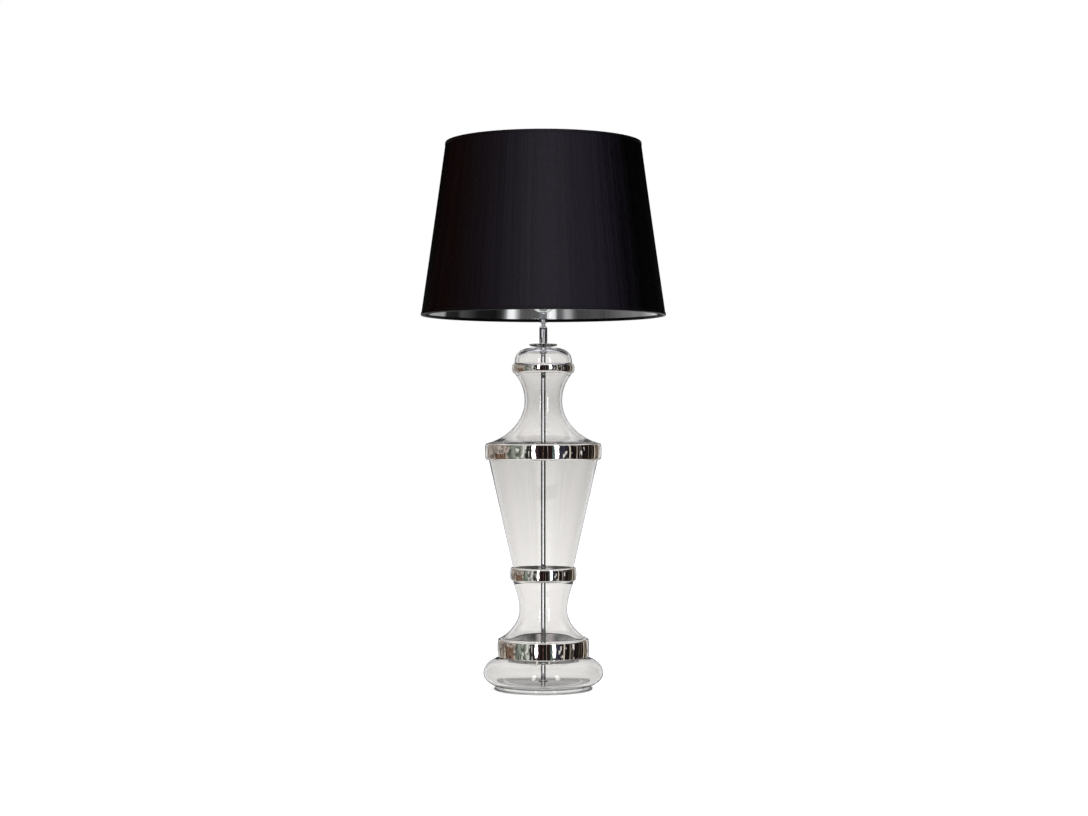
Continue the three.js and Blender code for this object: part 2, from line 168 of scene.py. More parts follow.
def plain(name, colour, rough, metal=0.0, grain=900, depth=0.02, vary=0.12, stretch=(1, 1, 1), **more):
    """Moulded, cast or drawn stuff: a fine grain, and slight drifts of colour and polish."""
    n = Nodes(name)
    drift = n.noise(n.place(), 60, 4)
    fine = n.noise(n.place(stretch), grain, 3)
    n.set(
        Base_Color=n.colours(drift, shade_of(colour, 1 - vary), shade_of(colour, 1 + vary)),
        Metallic=metal,
        Roughness=n.between(n.math("MULTIPLY", drift, fine), rough * 0.75, rough * 1.6),
        Normal=n.bump(fine, depth * MM),
        **more,
    )
    return n.material


# Clearness of the wall by height in millimetres, and the faint warmth of what comes through. The
# clearness is partly the glass's slight grey and partly painted shade: its dips darken the wall at the
# heights where it looks darker.
CLEARNESS_AND_SHADE = [
    (0, 0.80), (14, 0.90), (85, 0.95), (130, 1.0), (200, 1.0), (290, 0.92), (372, 0.83),
    (403, 0.96), (440, 0.87), (470, 0.80), (510, 0.84), (530, 0.94),
]
CLEARNESS_TOP = CLEARNESS_AND_SHADE[-1][0]
WARMTH = (1.0, 0.992, 0.983)


def clear_glass():
    """Blown glass: water clear, slightly grey, with slow waves left by the mould and the breath."""
    n = Nodes("clear_glass")
    slow = n.noise(n.place((1, 1, 0.35)), 26, 2, 0.4)
    height = n.split(n.place((1, 1, 1 / (CLEARNESS_TOP * MM))))["Z"]
    stops = [(z / CLEARNESS_TOP, tuple(clear * w for w in WARMTH)) for z, clear in CLEARNESS_AND_SHADE]
    # Painted shade by height, on top of the glass's own slight grey and warmth.
    tint_and_shade = n.ramp(height, stops)
    # Painted shade: a wall seen edge on is painted dark, most of all above the shoulder, in place of
    # the dark surroundings it would mirror. Level faces, such as the floor of the foot, and the lip
    # stay clear.
    level = n.math("ABSOLUTE", n.split(n.add("NewGeometry").outputs["Normal"])["Z"], 0)
    upright = n.sharpen(level, 0.65, 0.35)
    edge = n.sharpen(n.add("LayerWeight", {"Blend": 0.5}).outputs["Facing"], 0.57, 0.80)
    edge = n.math("MULTIPLY", edge, n.sharpen(height, 1.055, 1.050))
    # The painted edge shade: near black above the shoulder, light grey below it.
    dark = n.colours(n.sharpen(height, 0.74, 0.88), (0.94, 0.94, 0.94), (0.02, 0.02, 0.02))
    n.set(
        Base_Color=n.colours(n.math("MULTIPLY", edge, upright), tint_and_shade, dark),
        Roughness=n.between(n.noise(n.place(), 40), 0.0, 0.003),
        IOR=1.5,
        Transmission_Weight=1.0,
        Normal=n.bump(slow, 0.9 * MM, 0.3),
    )
    return n.material


def platinum():
    """A fired mirror coat, with the slow unevenness of the glass under it and faint wipe marks."""
    n = Nodes("platinum")
    slow = n.noise(n.place((1, 1, 0.5)), 30, 2, 0.4)
    wipes = n.noise(n.place((1, 1, 9)), 160, 3)
    n.set(
        Base_Color=n.colours(slow, (0.86, 0.83, 0.79), (0.93, 0.91, 0.88)),
        Metallic=1.0,
        Roughness=n.between(wipes, 0.0, 0.003),
        Normal=n.bump(wipes, 0.004 * MM, 0.5, n.bump(slow, 1.2 * MM, 0.5)),
    )
    return n.material


def coat_back():
    """The coat seen from behind, through the glass: dark, purplish and only half a mirror."""
    n = Nodes("coat_back")
    slow = n.noise(n.place(), 40, 3)
    n.set(
        Base_Color=n.colours(slow, (0.20, 0.18, 0.185), (0.38, 0.355, 0.36)),
        Metallic=1.0,
        Roughness=n.between(slow, 0.05, 0.12),
        Normal=n.bump(slow, 0.4 * MM, 0.4),
    )
    return n.material


def chrome():
    """Plated turned brass: polished, with hair-fine rings from the lathe."""
    n = Nodes("chrome")
    rings = n.noise(n.place((0.4, 0.4, 14)), 260, 3)
    drift = n.noise(n.place(), 70, 3)
    n.set(
        Base_Color=n.colours(drift, (0.80, 0.81, 0.83), (0.90, 0.905, 0.92)),
        Metallic=1.0,
        Roughness=n.between(rings, 0.03, 0.08),
        Normal=n.bump(rings, 0.006 * MM, 0.5),
    )
    return n.material


def satin():
    """Black satin on card. The thread runs up the shade, so the gloss comes in upright streaks."""
    n = Nodes("black_satin")
    cloth = n.add("TexCoord").outputs["UV"]
    warp = n.wave(cloth, 620, "X", 0.6)
    weft = n.wave(cloth, 700, "Y", 0.4)
    weave = n.math("ADD", n.math("MULTIPLY", warp, 0.7), n.math("MULTIPLY", weft, 0.3))
    streak_at = n.add("Mapping", {"Vector": cloth, "Scale": (1, 0.02, 1)}).outputs[0]
    streaks = n.sharpen(n.noise(streak_at, 34, 5, 0.6), 0.32, 0.68)
    thread_at = n.add("Mapping", {"Vector": cloth, "Scale": (1, 0.05, 1)}).outputs[0]
    threads = n.sharpen(n.noise(thread_at, 620, 3, 0.7), 0.3, 0.7)
    slub_at = n.add("Mapping", {"Vector": cloth, "Scale": (0.08, 1, 1)}).outputs[0]
    slubs = n.sharpen(n.noise(slub_at, 420, 2), 0.45, 0.75)
    grain = n.sharpen(n.noise(cloth, 520, 2, 0.6), 0.35, 0.75)
    tone = n.math("MULTIPLY", n.between(threads, 0.3, 1.0), grain)
    # Painted sheen: the upright gloss streaks also lighten and darken the base colour. The threads and
    # grain are the cloth's own tone.
    tone = n.math("MULTIPLY", n.between(streaks, 0.4, 1.0), tone)
    fine = n.bump(threads, 0.16 * MM, 0.6, n.bump(slubs, 0.10 * MM, 0.5))
    fine = n.bump(weave, 0.05 * MM, 0.6, fine)
    n.set(
        Base_Color=n.colours(tone, (0.0, 0.0, 0.0), (0.0040, 0.0032, 0.0044)),
        Roughness=n.math("ADD", n.between(streaks, 0.18, 0.34), n.between(grain, -0.08, 0.06)),
        Specular_IOR_Level=0.12,
        Specular_Tint=(0.94, 0.86, 1.0, 1.0),
        Normal=n.bump(streaks, 1.2 * MM, 0.7, fine),
    )
    return n.material


def foil():
    """Silver film on card, rolled on in upright strokes, so that it mirrors in soft streaks."""
    n = Nodes("silver_foil")
    cloth = n.add("TexCoord").outputs["UV"]
    streak_at = n.add("Mapping", {"Vector": cloth, "Scale": (1, 0.03, 1)}).outputs[0]
    streaks = n.noise(streak_at, 60, 5, 0.6)
    dents = n.noise(cloth, 45, 3)
    n.set(
        Base_Color=n.colours(streaks, (0.52, 0.52, 0.54), (0.90, 0.90, 0.91)),
        Metallic=1.0,
        Roughness=n.between(streaks, 0.03, 0.08),
        Normal=n.bump(streaks, 0.3 * MM, 0.3, n.bump(dents, 0.3 * MM, 0.2)),
    )
    return n.material


GLASS = clear_glass()
PLATINUM = platinum()
COAT_BACK = coat_back()
CHROME = chrome()
SATIN = satin()
FOIL = foil()
WIRE = plain("white_wire", (0.80, 0.79, 0.76), 0.38, grain=500)
STEEL = plain("zinc_steel", (0.55, 0.56, 0.57), 0.3, 1.0, grain=1400, vary=0.15)
BRASS = plain("brass", (0.70, 0.52, 0.22), 0.25, 1.0, grain=1200, vary=0.15)
CERAMIC = plain("white_ceramic", (0.86, 0.84, 0.79), 0.3, grain=700, vary=0.05)
WHITE = plain("white_plastic", (0.84, 0.84, 0.83), 0.34, grain=1500, vary=0.04)
SILICONE = plain(
    "clear_silicone", (0.58, 0.59, 0.59), 0.3, grain=600, vary=0.04, Transmission_Weight=0.7, IOR=1.41
)
FELT = plain("grey_felt", (0.90, 0.90, 0.895), 0.9, grain=2600, depth=0.35, vary=0.35)
RUBBER = plain("black_rubber", (0.028, 0.028, 0.03), 0.6, grain=900)
NYLON = plain("black_nylon", (0.022, 0.022, 0.024), 0.42, grain=1100)
OPAL = plain("opal_plastic", (0.90, 0.885, 0.84), 0.32, grain=800, vary=0.03, Subsurface_Weight=0.2)
LIVE = plain("brown_insulation", (0.16, 0.055, 0.02), 0.4, grain=600)
NEUTRAL = plain("blue_insulation", (0.03, 0.10, 0.36), 0.4, grain=600)


# ---------------------------------------------------------------- shapes


def bezier(a, b, c, d, steps=20):
    points = []
    for i in range(steps + 1):
        t = i / steps
        s = 1 - t
        weights = (s**3, 3 * s * s * t, 3 * s * t * t, t**3)
        points.append(tuple(sum(w * p[k] for w, p in zip(weights, (a, b, c, d))) for k in (0, 1)))
    return points


def arc(centre, radii, start, end, steps=12):
    """Points of an ellipse from one angle to another, in radians."""
    angles = [start + (end - start) * i / steps for i in range(steps + 1)]
    return [
        (centre[0] + radii[0] * math.cos(a), centre[1] + radii[1] * math.sin(a)) for a in angles
    ]


def rounded(outline, radius, steps=3, sharpest=0.35):
    """The closed outline with each of its real corners rounded. A point on the axis stays."""
    result = []
    count = len(outline)
    for i, point in enumerate(outline):
        p = Vector(point)
        before = Vector(outline[i - 1]) - p
        after = Vector(outline[(i + 1) % count]) - p
        room = min(before.length, after.length)
        turn = math.pi - before.angle(after) if room > 1e-6 else 0
        if turn < sharpest or point[0] < 1e-6:
            result.append(point)
            continue
        cut = min(radius * math.tan(turn / 2), room * 0.45)
        start = p + before.normalized() * cut
        end = p + after.normalized() * cut
        for k in range(steps + 1):
            t = k / steps
            q = start * (1 - t) ** 2 + p * 2 * t * (1 - t) + end * t * t
            result.append((q.x, q.y))
    return result


def lathe(name, outline, material, body, stands_for, segments=128, sharp=50, shift=None, back=None):
    """Turns a closed outline of (radius, height) in millimetres round Z, with its unrolled size as UV.
    back is (first point, material) for the last stretch of an outline that runs anticlockwise."""
    bm = bmesh.new()
    uv = bm.loops.layers.uv.new("unrolled")
    area = sum(a[0] * b[1] - b[0] * a[1] for a, b in zip(outline, outline[1:] + outline[:1]))
    if area < 0:
        outline = outline[::-1]
    rings = []
    for r, z in outline:
        if r < 1e-6:
            rings.append([bm.verts.new((0, 0, z * MM))] * segments)
            continue
        ring = []
        for k in range(segments):
            angle = TAU * k / segments
            rr, zz = shift(angle, r, z) if shift else (r, z)
            ring.append(bm.verts.new((rr * MM * math.sin(angle), -rr * MM * math.cos(angle), zz * MM)))
        rings.append(ring)
    widest = max(r for r, _ in outline) * MM
    run = [0.0]
    for a, b in zip(outline, outline[1:] + outline[:1]):
        run.append(run[-1] + math.dist(a, b) * MM)
    for i in range(len(outline)):
        low, high = rings[i], rings[(i + 1) % len(outline)]
        for k in range(segments):
            m = (k + 1) % segments
            corners = [(low[k], k, i), (low[m], k + 1, i), (high[m], k + 1, i + 1), (high[k], k, i + 1)]
            kept = []
            for corner in corners:
                if all(corner[0] is not other[0] for other in kept):
                    kept.append(corner)
            if len(kept) < 3:
                continue
            face = bm.faces.new([c[0] for c in kept])
            face.smooth = True
            face.material_index = int(back is not None and i >= back[0])
            for loop, (_, across, up) in zip(face.loops, kept):
                loop[uv].uv = (TAU * across / segments * widest, run[up])
    piece = finish_piece(name, bm, material, body, stands_for, sharp)
    if back:
        piece.data.materials.append(back[1])
    return piece


def finish_piece(name, bm, material, body, stands_for=(), sharp=50):
    mesh = bpy.data.meshes.new(name)
    bm.to_mesh(mesh)
    bm.free()
    mesh.set_sharp_from_angle(angle=math.radians(sharp))
    mesh.materials.append(material)
    piece = bpy.data.objects.new(name, mesh)
    bpy.context.collection.objects.link(piece)
    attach(piece, body)
    if stands_for:
        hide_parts(*stands_for)
    return piece


def tube(name, radius, bore, low, high, material, body, stands_for, bevel=0.3, segments=96):
    outline = [(bore, low), (radius, low), (radius, high), (bore, high)]
    return lathe(name, rounded(outline, bevel), material, body, stands_for, segments)


# ---------------------------------------------------------------- glass

WALL = 4.5
FOOT_RADIUS = 78
BANDS = {
    "band_base": dict(radius=74.5, low=52.5, high=82.5, round=3, tall=3, root=71),
    "band_waist": dict(radius=53.8, low=176.6, high=198.7, round=3.6, tall=4, root=49.7),
    "band_shoulder": dict(radius=94.8, low=373.6, high=400.8, round=4, tall=4, root=88.9),
    "band_collar": dict(radius=50.9, low=514.9, high=530.7, round=3.6, tall=7.4, root=46.8),
}
BASE, WAIST, SHOULDER, COLLAR = BANDS.values()
SKIN = 0.5


def rib_face(rib, inset, steps=8):
    centre = rib["radius"] - rib["round"]
    size = (rib["round"] - inset, rib["tall"] - inset)
    low = arc((centre, rib["low"] + rib["tall"]), size, -math.pi / 2, 0, steps)
    high = arc((centre, rib["high"] - rib["tall"]), size, 0, math.pi / 2, steps)
    # Between its corners the face is very slightly barrelled.
    foot, head = low[-1], high[0]
    swell = 0.02 * (head[1] - foot[1])
    parts = [i / steps for i in range(1, steps)]
    face = [(foot[0] + swell * math.sin(math.pi * t), foot[1] + (head[1] - foot[1]) * t) for t in parts]
    return low + face + high


def glass_stretches():
    bulge = arc((61.4, 26.5), (36.6, 22.4), -1.1, 0, 16)
    bulge += arc((61.4, 26.5), (36.6, 26.5), 0, 1.2, 16)[1:]
    lower = bezier((BASE["root"], BASE["high"] + 0.6), (55, 92), (39.1, 109), (39.1, 129))
    lower += bezier((39.1, 129), (39.1, 146), (45, 162), (WAIST["root"], WAIST["low"] - 0.6))[1:]
    foot, head = (WAIST["root"], WAIST["high"] + 0.6), (SHOULDER["root"], SHOULDER["low"] - 0.6)
    cone = [tuple(a + (b - a) * i / 12 for a, b in zip(foot, head)) for i in range(13)]
    upper = bezier((SHOULDER["root"], SHOULDER["high"] + 0.6), (58, 410), (30.6, 437), (30.6, 469))
    upper += bezier((30.6, 469), (30.6, 489), (37, 502), (COLLAR["root"], COLLAR["low"] - 0.6))[1:]
    dome = bezier((COLLAR["root"], COLLAR["high"] + 0.6), (COLLAR["root"], 545), (41, 553.5), (24, 556))
    return [bulge, lower, cone, upper, dome]


def inside_of(core):
    """The inner wall: the outer curve moved in by the wall, swelling a little into each rib."""
    moved = []
    for i, point in enumerate(core):
        before, after = core[max(i - 1, 0)], core[min(i + 1, len(core) - 1)]
        way = (Vector(after) - Vector(before)).normalized()
        x, z = point[0] - way.y * WALL, point[1] + way.x * WALL
        if min(math.dist((x, z), q) for q in core) < WALL * 0.97:
            continue
        for rib in BANDS.values():
            half = (rib["high"] - rib["low"]) / 2
            away = abs(z - rib["low"] - half) / half
            x += 0.5 * (rib["radius"] - rib["root"]) * math.exp(-(away**4))
        moved.append((x, z))
    return moved


def glass_outline():
    outside = []
    inset = SKIN + 0.1
    for stretch, rib in zip(glass_stretches(), [*BANDS.values(), None]):
        outside += stretch
        if rib:
            outside.append((rib["root"], rib["low"] + inset))
            outside += rib_face(rib, inset)
            outside.append((rib["root"], rib["high"] - inset))
    lip = bezier((24, 556), (16, 556.3), (10.8, 555.4), (10.8, 556.4), 8)[1:]
    lip += bezier((10.8, 556.4), (12, 558.4), (20.4, 557.8), (22, 559.8), 10)[1:]
    lip += arc((21.6, 561.3), (1.2, 1.2), -0.75, math.pi / 2, 8)
    lip += bezier((21.2, 562.5), (18, 561.4), (12, 560.8), (9.5, 560.8), 6)
    lip += [(6.4, 560.8), (6.4, 553)]
    within = inside_of([p for stretch in glass_stretches() for p in stretch])[::-1]
    foot = [(66, 1.9), (FOOT_RADIUS - 1, 1.9), (FOOT_RADIUS, 2.7), (FOOT_RADIUS, 4.4)]
    floor = [(66, 9.8), (4.5, 9.8), (4.5, 6.8), (66, 6.8)]
    return [*foot, *outside, *lip, *within, *floor]


def blown(angle, r, z):
    """Slight unevenness of a hand-finished piece, up to about a fifth of a millimetre."""
    if z < 12:
        return r, z
    soft = noise.noise(Vector((math.cos(angle) * 1.3, math.sin(angle) * 1.3, z * 0.012)))
    return r + 0.12 * soft, z


GLASS_NODES = ["foot", "lower_neck", "cone", "shoulder", "upper_neck", "dome"]
stands_for = ["glass_" + label for label in GLASS_NODES]
lathe("glass", glass_outline(), GLASS, "base", stands_for, 192, 60, blown)

for label, rib in BANDS.items():
    front = rib_face(rib, 0)
    outline = front + rib_face(rib, SKIN)[::-1]
    lathe(label + "_skin", outline, PLATINUM, "base", [label], 192, 60, blown, (len(front), COAT_BACK))


# ---------------------------------------------------------------- foot

tube("foot_ring", 80, 66, 0, 1.8, SILICONE, "base", ["foot_pad_ring"], 0.5, 192)
tube("floor_cover", 62, 13, 5.7, 6.7, FELT, "base", ["base_cover_disc"], 0.2, 128)


# ---------------------------------------------------------------- stem

PIPE, PIPE_BORE = 4, 3
HOLE = 4.15
SLEEVE = 6.5

tube("pipe", PIPE, PIPE_BORE, 3, 586, CHROME, "base", ["central_pipe"], 0.3, 64)
collar = [(HOLE, 10.6), (SLEEVE, 10.6), (SLEEVE, 12.3), (5.7, 13), (HOLE, 13)]
lathe("pipe_collar", rounded(collar, 0.3), CHROME, "base", ["floor_collar"], 96)
tube("floor_seal", 8, HOLE, 9.85, 10.6, SILICONE, "base", ["floor_washer"], 0.2)
tube("throat_bush", 6.1, HOLE, 550.5, 560.8, SILICONE, "base", ["mouth_bush"], 0.2)
tube("lip_gasket", 8.5, HOLE, 561, 562.1, SILICONE, "base", ["mouth_gasket"], 0.3)

sleeve = [(HOLE, 562.1), (SLEEVE, 562.1), (SLEEVE, 588.8), (4.3, 591.6)]
sleeve += [(2.4, 591.6), (2.4, 586.3), (HOLE, 586.3)]
lathe("sleeve_low", rounded(sleeve, 0.4), CHROME, "base", ["lower_sleeve"], 96)
waist = [(2.4, 591.9), *bezier((4.3, 591.9), (4.0, 592.5), (3.4, 592.8), (3.4, 593.6), 8)]
waist += [*bezier((3.4, 593.6), (3.4, 594.4), (4.0, 594.7), (4.3, 595.3), 8)[1:], (2.4, 595.3)]
lathe("coupling", rounded(waist, 0.25), CHROME, "base", ["waist_coupling"], 96)
upper = [(2.6, 595.6), (4.3, 595.6), (6, 597.4), (6, 613.2), (4.8, 613.2), (4.8, 622), (2.6, 622)]
lathe("sleeve_high", rounded(upper, 0.4), CHROME, "base", ["upper_sleeve"], 96)


# ---------------------------------------------------------------- lampholder


def cap_curve(shrink):
    start = 0.32
    radius, rise = 20 - shrink, 18 - shrink
    points = []
    for i in range(25):
        angle = start + (math.pi / 2 - start) * i / 24
        height = 613.4 + shrink + rise * (1 - math.cos(angle)) - 0.9
        points.append((radius * math.sin(angle), height))
    return points


cap = [(5, 613.4), *cap_curve(0), (20, 641), (18.8, 641), *cap_curve(1.2)[::-1], (5, 614.6)]
lathe("holder_dome", rounded(cap, 0.3), CHROME, "base", ["holder_cap"], 128)
barrel = [(17.8, 641.3), (19.6, 641.3)]
for turn in range(8):
    low = 643.5 + turn * 2.9
    barrel += [(19.6, low), (19.15, low + 0.7), (19.15, low + 1.4), (19.6, low + 2.1)]
barrel += [(19.6, 667), (18.6, 668), (16.4, 668), (16.4, 666), (17.8, 666)]
lathe("holder_body", rounded(barrel, 0.25, 2), WHITE, "base", ["holder_barrel"], 96)


def ridged_ring(name, low, side, body, stands_for):
    """A screw ring with a finger grip: its wide lip carries fine upright ridges."""
    foot = low if side > 0 else low + 5
    head, step = foot + side * 5, foot + side * 1.6

    def grip(angle, r, z):
        return (r - 0.35 * (0.5 + 0.5 * math.cos(angle * 36)), z) if r > 26 else (r, z)

    outline = [(20, foot), (27, foot), (27, step), (22.5, step), (22.5, head), (20, head)]
    lathe(name, rounded(outline, 0.4), WHITE, body, stands_for, 288, 50, grip)


ridged_ring("clamp_ring_low", 643.7, -1, "base", ["shade_ring_lower"])
ridged_ring("clamp_ring_high", 651.3, 1, "shade_ring", ["shade_ring_upper"])


# ---------------------------------------------------------------- shade

SHADE_LOW, SHADE_HIGH = Vector((200, 608.5)), Vector((160, 890.5))
SLANT = (SHADE_HIGH - SHADE_LOW).length
UP = (SHADE_HIGH - SHADE_LOW).normalized()
SEAM_ANGLE = math.pi - math.radians(32)


def on_shade(rise, depth):
    """A point of the shade's section: up the slant from the low rim, and in from the outer face."""
    p = SHADE_LOW + UP * rise
    return (p.x - UP.y * depth, p.y + UP.x * depth)


def stretched(angle, r, z):
    """Cloth on card between two hoops: it swells and sinks by a fraction of a millimetre."""
    part = (z - SHADE_LOW.y) / (SHADE_HIGH.y - SHADE_LOW.y)
    slack = max(0.0, math.sin(math.pi * min(max(part, 0), 1)))
    round_ = noise.noise(Vector((math.cos(angle) * 2.4, math.sin(angle) * 2.4, part * 0.8)))
    ripple = noise.noise(Vector((math.cos(angle) * 9, math.sin(angle) * 9, part * 1.5 + 7)))
    return r - slack * (0.35 + 0.5 * round_ + 0.14 * ripple), z


def skin(name, outer, inner, material, stands_for):
    rises = [0.8 + (SLANT - 1.6) * i / 24 for i in range(25)]
    outline = [on_shade(s, outer) for s in rises] + [on_shade(s, inner) for s in rises[::-1]]
    return lathe(name, outline, material, "shade", stands_for, 256, 60, stretched)


def hem(name, place, stands_for):
    """Cloth turned round the hoop, softly puckered where it is glued."""
    outline = [
        place(4.6, 0.05), place(3.2, 0), place(1.2, 0), place(0.3, 0.35), place(0, 1.3),
        place(0, 4.6), place(0.3, 5.55), place(1.2, 5.9), place(3.2, 5.9), place(4.6, 5.85),
        place(4.7, 5.6), place(4.6, 5.3), place(0.6, 5.3), place(0.6, 0.6), place(4.6, 0.6),
        place(4.7, 0.35),
    ]

    def pucker(angle, r, z):
        return r - 0.09 * (1 + noise.noise(Vector((math.cos(angle) * 60, math.sin(angle) * 60, z)))), z

    return lathe(name, rounded(outline, 0.4, 2, 0.2), SATIN, "shade", stands_for, 320, 60, pucker)


def ring_bar(name, centre, radius, material, body, stands_for, segments=192):
    outline = arc(centre, (radius, radius), 0, TAU, 16)[:-1]
    return lathe(name, outline, material, body, stands_for, segments, 80)


def strip(name, depth, thick, width, material):
    """The lapped edge of the sheet, where it is glued to itself at the back."""
    bm = bmesh.new()
    uv = bm.loops.layers.uv.new("unrolled")
    rows = []
    for i in range(25):
        rise = 5.2 + (SLANT - 10.4) * i / 24
        row = []
        for across, inwards in ((-0.5, thick), (-0.49, 0), (0, 0), (0.49, 0), (0.5, thick)):
            r, z = on_shade(rise, depth + inwards)
            angle = SEAM_ANGLE + across * width / r
            r, z = stretched(angle, r, z)
            row.append(bm.verts.new((r * MM * math.sin(angle), -r * MM * math.cos(angle), z * MM)))
        rows.append(row)
    for low, high in zip(rows, rows[1:]):
        for k in range(4):
            face = bm.faces.new((low[k], low[k + 1], high[k + 1], high[k]))
            face.smooth = True
            for loop in face.loops:
                loop[uv].uv = (loop.vert.co.x, loop.vert.co.z)
    return finish_piece(name, bm, material, "shade", (), 60)


fabric = skin("shade_cloth", 0.7, 1.4, SATIN, ["shade_fabric"])
lining = skin("shade_foil", 1.5, 1.9, FOIL, ["shade_lining"])
rims = {"low": on_shade, "high": lambda rise, depth: on_shade(SLANT - rise, depth)}
for rim, place in rims.items():
    hem("hem_" + rim, place, ["shade_hem_" + rim])
    ring_bar("hoop_" + rim, place(2.3, 3.6), 1.5, WIRE, "shade", ["shade_hoop_" + rim])
seam = strip("seam_outside", 0.35, 0.35, 11, SATIN)
inner_seam = strip("seam_inside", 2.3, -0.4, 9, FOIL)

carrier = [(20.4, 649), (30, 649), (30, 651), (20.4, 651)]
lathe("carrier_ring", rounded(carrier, 0.6), WIRE, "shade", ["shade_carrier"], 128)


def bar(name, points, radius, degrees, stands_for):
    """A round wire through points given as (distance from the stem, height)."""
    curve = bpy.data.curves.new(name, "CURVE")
    curve.dimensions = "3D"
    curve.bevel_depth = radius * MM
    curve.bevel_resolution = 5
    curve.resolution_u = 8
    curve.use_fill_caps = True
    spline = curve.splines.new("NURBS")
    spline.points.add(len(points) - 1)
    spline.use_endpoint_u = True
    spline.order_u = 4
    angle = math.radians(degrees)
    for point, (r, z) in zip(spline.points, points):
        point.co = (r * MM * math.cos(angle), r * MM * math.sin(angle), z * MM, 1)
    curve.materials.append(WIRE)
    piece = bpy.data.objects.new(name, curve)
    bpy.context.collection.objects.link(piece)
    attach(piece, "shade")
    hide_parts(*stands_for)


wall_r, wall_z = on_shade(7.6, 6.9)
for side, degrees in {"back": 90, "left": 210, "right": 330}.items():
    path = [(29.5, 650), (60, 650), (100, 650), (140, 650), (wall_r - 26, 650), (wall_r - 12, 649)]
    path += [(wall_r - 6, 645), (wall_r - 4, 639), (wall_r - 3, 632), (wall_r - 1, wall_z + 8)]
    path += [(wall_r, wall_z), (wall_r + 1.4, wall_z - 3)]
    bar("arm_" + side, path, 1.5, degrees, ["shade_arm_" + side])


# ---------------------------------------------------------------- bulb


def globe():
    centre, drop = 712, 18
    outer = arc((0, centre), (30, 30), math.pi / 2, -math.asin(drop / 30), 32)
    inner = arc((0, centre), (28.8, 28.8), -math.asin(drop / 28.8), math.pi / 2, 32)
    outer[0], inner[-1] = (0, centre + 30), (0, centre + 28.8)
    lathe("bulb_globe", outer + inner, OPAL, "bulb", ["bulb_diffuser"], 96, 60)


globe()
housing = [(0, 659.4), (13.3, 659.4), *bezier((13.9, 666), (15, 676), (23, 680), (24, 690), 14)]
housing += [(24.6, 694), (0, 694)]
lathe("bulb_neck", rounded(housing, 0.5), WHITE, "bulb", ["bulb_housing"], 96, 60)
screw = [(0, 645)]
for i in range(33):
    screw.append((12.8 + 0.5 * math.cos(i * math.pi / 4), 645 + i * 0.45))
screw.append((0, 659.4))
lathe("bulb_thread", screw, STEEL, "bulb", ["bulb_cap"], 96, 70)


# ---------------------------------------------------------------- CAD nodes that stay

KEPT = {
    "cord_grommet": NYLON,
    "lower_rubber_washer": RUBBER,
    "lower_steel_washer": STEEL,
    "lower_lock_nut": STEEL,
    "holder_fixing_nut": STEEL,
    "holder_insert": CERAMIC,
    "terminal_screw_left": BRASS,
    "terminal_screw_right": BRASS,
    "holder_screw_shell": BRASS,
    "holder_contact_spring": BRASS,
    "wire_live": LIVE,
    "wire_neutral": NEUTRAL,
    "bulb_contact": STEEL,
    "bulb_insulator": NYLON,
    "bulb_led_board": WHITE,
}
for label, material in KEPT.items():
    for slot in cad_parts[label].material_slots:
        slot.material = material


# ---------------------------------------------------------------- studio


def greys(levels):
    """Stops of plain grey, from a table of degrees and levels."""
    return [(degrees, (level,) * 3) for degrees, level in levels.items()]


# Radiance round the lamp as gloss sees it: degrees from the camera's side, positive to the right.
ROUND = [
    (-180, (0.10, 0.10, 0.10)),
    (-162, (0.50, 0.50, 0.50)),
    (-155, (1, 1, 1)),
    (-143, (1, 0.99, 0.97)),
    (-140, (0.48, 0.42, 0.37)),
    (-112, (0.55, 0.49, 0.43)),
    (-109, (0.22, 0.14, 0.10)),
    (-82, (0.27, 0.18, 0.13)),
    (-78, (0.62, 0.57, 0.50)),
    (-72, (0.17, 0.20, 0.17)),
    (-56, (0.34, 0.38, 0.33)),
    (-47, (0.14, 0.17, 0.14)),
    (-39, (0.80, 0.84, 0.80)),
    (-35, (0.03, 0.04, 0.035)),
    (-12, (0.06, 0.03, 0.035)),
    (-2, (0.012, 0.006, 0.008)),
    (4, (0.50, 0.30, 0.22)),
    (9, (0.05, 0.02, 0.015)),
    (17, (0.012, 0.008, 0.010)),
    (21, (0.30, 0.42, 0.40)),
    (33, (0.05, 0.06, 0.10)),
    (46, (0.05, 0.045, 0.06)),
    (51, (0.006, 0.005, 0.006)),
    (69, (0.010, 0.006, 0.005)),
    (73, (0.60, 0.56, 0.52)),
    (78, (0.40, 0.34, 0.30)),
    (81, (0.012, 0.008, 0.006)),
    (122, (0.16, 0.12, 0.08)),
    (138, (0.30, 0.26, 0.20)),
    (146, (1, 1, 1)),
    (155, (1, 1, 1)),
    (162, (0.50, 0.50, 0.50)),
]
# The same for blurred gloss, such as the stem: a soft band of light on each side of the middle.
SOFT = [
    (-180, (0.02, 0.02, 0.02)),
    (-140, (0.02, 0.02, 0.02)),
    (-100, (0.02, 0.02, 0.02)),
    (-74, (0.05, 0.05, 0.05)),
    (-56, (0.16, 0.17, 0.17)),
    (-34, (0.85, 0.87, 0.86)),
    (-18, (0.80, 0.82, 0.81)),
    (-8, (0.12, 0.13, 0.13)),
    (6, (0.10, 0.10, 0.10)),
    (16, (0.50, 0.51, 0.51)),
    (34, (0.55, 0.56, 0.56)),
    (47, (0.04, 0.04, 0.04)),
    (72, (0.02, 0.02, 0.02)),
    (95, (0.07, 0.07, 0.07)),
    (140, (0.02, 0.02, 0.02)),
]
